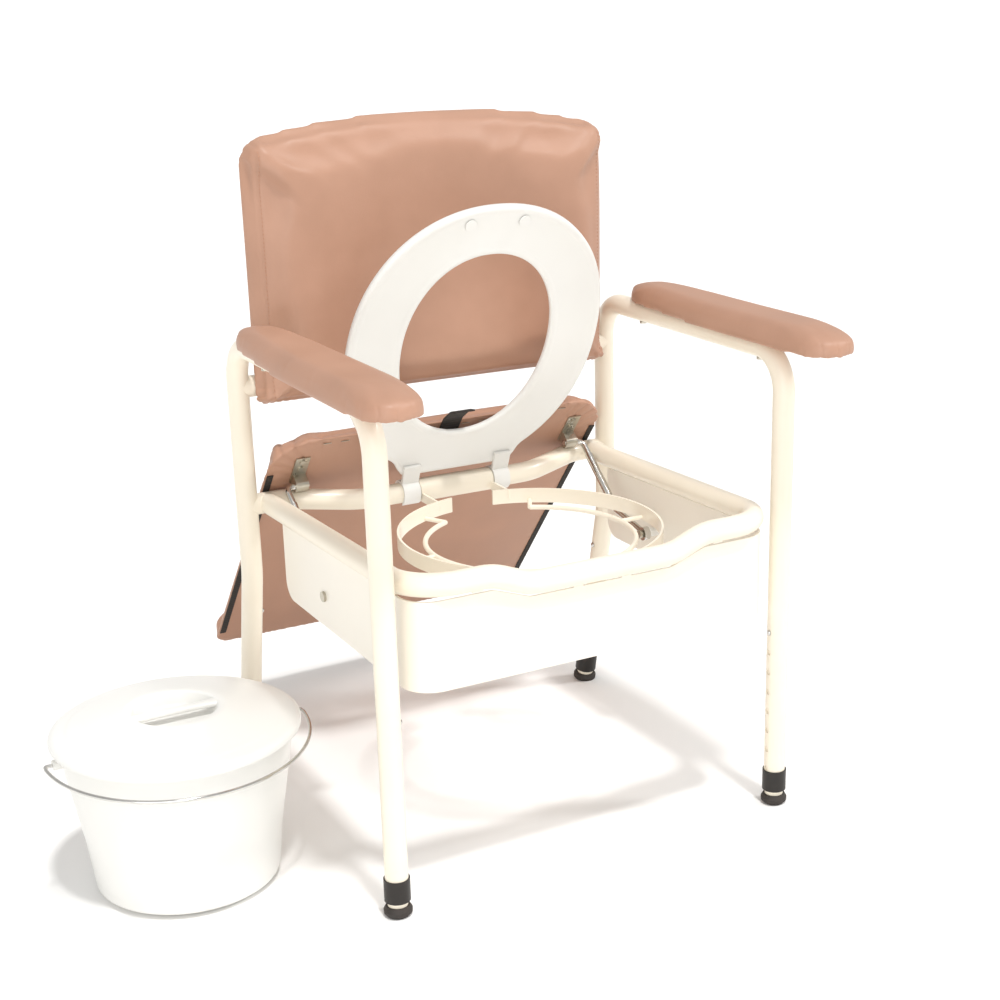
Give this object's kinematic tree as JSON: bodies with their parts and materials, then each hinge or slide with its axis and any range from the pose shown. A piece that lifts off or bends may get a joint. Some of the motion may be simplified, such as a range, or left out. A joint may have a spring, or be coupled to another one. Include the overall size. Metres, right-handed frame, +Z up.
{
  "type": "commode chair",
  "caption": "Bedside commode chair with armrests, height-adjustable legs, tip-back padded seat, raised toilet seat, pan carrier and a lidded pan with a wire handle.",
  "frame": {"origin": "on the floor, midway between the four upright tubes", "axes": "+Z up, the sitter faces -Y, +X to the viewer's right when facing the chair; the pan stands on the floor on the -X side"},
  "size_m": [0.8519, 0.7442, 0.8086],
  "materials": {
    "apron_sheet": "ivory coated sheet, satin",
    "black_plastic": "moulded black plastic",
    "black_rubber": "moulded black rubber",
    "black_webbing": "woven webbing",
    "chrome_steel": "chrome plated steel",
    "cream_steel": "cream coated flat steel and wire",
    "frame_enamel": "cream powder coat, satin",
    "nickel_steel": "nickel plated pressed steel",
    "plywood": "raw birch plywood",
    "spring_steel": "spring steel strip",
    "tan_vinyl": "tan upholstery vinyl, fine grain",
    "white_plastic": "moulded white plastic, gloss"
  },
  "bodies": {
    "frame": {"side_frame_left": "frame_enamel", "side_frame_right": "frame_enamel", "leg_collar_front_left": "black_plastic", "leg_collar_front_right": "black_plastic", "leg_collar_rear_left": "black_plastic", "leg_collar_rear_right": "black_plastic", "rear_crossbar": "frame_enamel", "seat_rail": "frame_enamel", "back_crossbar": "frame_enamel", "back_hoop": "frame_enamel", "apron": "apron_sheet", "apron_spacers": "apron_sheet", "armrest_board_left": "plywood", "armrest_board_right": "plywood", "armrest_pad_left": "tan_vinyl", "armrest_pad_right": "tan_vinyl", "armrest_screws": "nickel_steel", "backrest_board": "plywood", "backrest_pad": "tan_vinyl", "backrest_screws": "nickel_steel", "pivot_bolts": "nickel_steel", "pivot_bushes": "white_plastic", "carrier_band": "cream_steel", "carrier_sleeve": "cream_steel", "carrier_wire": "cream_steel"},
    "seat_stays": {"seat_stay_left": "chrome_steel", "seat_stay_right": "chrome_steel"},
    "padded_seat": {"seat_board": "tan_vinyl", "seat_cushion": "tan_vinyl", "seat_edge_strips": "black_webbing", "stay_brackets": "nickel_steel", "bracket_screws": "nickel_steel", "pull_strap": "black_webbing"},
    "toilet_seat_ring": {"toilet_seat": "white_plastic", "toilet_seat_clips": "white_plastic", "toilet_seat_bumpers": "white_plastic"},
    "pan": {"pan_body": "white_plastic", "pan_ears": "white_plastic"},
    "pan_cover": {"pan_lid": "white_plastic"},
    "pan_handle": {"pan_bail": "chrome_steel"},
    "leg_front_left": {"inner_leg_front_left": "frame_enamel", "foot_tip_front_left": "black_rubber", "button_spring_front_left": "spring_steel"},
    "button_front_left": {"snap_button_front_left": "chrome_steel"},
    "leg_front_right": {"inner_leg_front_right": "frame_enamel", "foot_tip_front_right": "black_rubber", "button_spring_front_right": "spring_steel"},
    "button_front_right": {"snap_button_front_right": "chrome_steel"},
    "leg_rear_left": {"inner_leg_rear_left": "frame_enamel", "foot_tip_rear_left": "black_rubber", "button_spring_rear_left": "spring_steel"},
    "button_rear_left": {"snap_button_rear_left": "chrome_steel"},
    "leg_rear_right": {"inner_leg_rear_right": "frame_enamel", "foot_tip_rear_right": "black_rubber", "button_spring_rear_right": "spring_steel"},
    "button_rear_right": {"snap_button_rear_right": "chrome_steel"}
  },
  "joints": [
    {"name": "leg_slide_front_left", "type": "slide", "parent": "frame", "child": "leg_front_left", "axis": [0, 0, -1], "range_m": [0, 0.175], "deforming": ["snap_button_front_left"]},
    {"name": "button_press_front_left", "type": "slide", "parent": "leg_front_left", "child": "button_front_left", "axis": [-1, 0, 0], "range_m": [0, 0.0042], "stiffness_N_per_m": 900, "deforming": ["button_spring_front_left"]},
    {"name": "leg_slide_front_right", "type": "slide", "parent": "frame", "child": "leg_front_right", "axis": [0, 0, -1], "range_m": [0, 0.175], "deforming": ["snap_button_front_right"]},
    {"name": "button_press_front_right", "type": "slide", "parent": "leg_front_right", "child": "button_front_right", "axis": [1, 0, 0], "range_m": [0, 0.0042], "stiffness_N_per_m": 900, "deforming": ["button_spring_front_right"]},
    {"name": "leg_slide_rear_left", "type": "slide", "parent": "frame", "child": "leg_rear_left", "axis": [0, 0.225, -0.9744], "range_m": [0, 0.175], "deforming": ["snap_button_rear_left"]},
    {"name": "button_press_rear_left", "type": "slide", "parent": "leg_rear_left", "child": "button_rear_left", "axis": [-1, 0, 0], "range_m": [0, 0.0042], "stiffness_N_per_m": 900, "deforming": ["button_spring_rear_left"]},
    {"name": "leg_slide_rear_right", "type": "slide", "parent": "frame", "child": "leg_rear_right", "axis": [0, 0.225, -0.9744], "range_m": [0, 0.175], "deforming": ["snap_button_rear_right"]},
    {"name": "button_press_rear_right", "type": "slide", "parent": "leg_rear_right", "child": "button_rear_right", "axis": [1, 0, 0], "range_m": [0, 0.0042], "stiffness_N_per_m": 900, "deforming": ["button_spring_rear_right"]},
    {"name": "stay_swing", "type": "hinge", "parent": "frame", "child": "seat_stays", "pos_m": [0, 0.0253, 0.2891], "axis": [1, 0, 0], "range_deg": [0, 125.4], "deforming": ["pull_strap"]},
    {"name": "seat_tilt", "type": "hinge", "parent": "seat_stays", "child": "padded_seat", "pos_m": [0, 0.18027, 0.37498], "axis": [1, 0, 0], "range_deg": [-78.1, 0]},
    {"name": "toilet_seat_hinge", "type": "hinge", "parent": "frame", "child": "toilet_seat_ring", "pos_m": [0, 0.165, 0.35], "axis": [1, 0, 0], "range_deg": [0, 65.1]},
    {"name": "pan_lift", "type": "slide", "parent": "frame", "child": "pan", "axis": [0, 0, 1], "range_m": [0, 0.25]},
    {"name": "lid_lift", "type": "slide", "parent": "pan", "child": "pan_cover", "axis": [0, 0, 1], "range_m": [0, 0.08]},
    {"name": "bail_swing", "type": "hinge", "parent": "pan", "child": "pan_handle", "pos_m": [-0.412, 0.005, 0.169], "axis": [-1, 0, 0], "range_deg": [0, 170]}
  ],
  "couplings": [
    {"joint": "seat_tilt", "follows": "stay_swing", "ratio": -0.6146},
    {"joint": "toilet_seat_hinge", "follows": "stay_swing", "ratio": 0.5152}
  ]
}
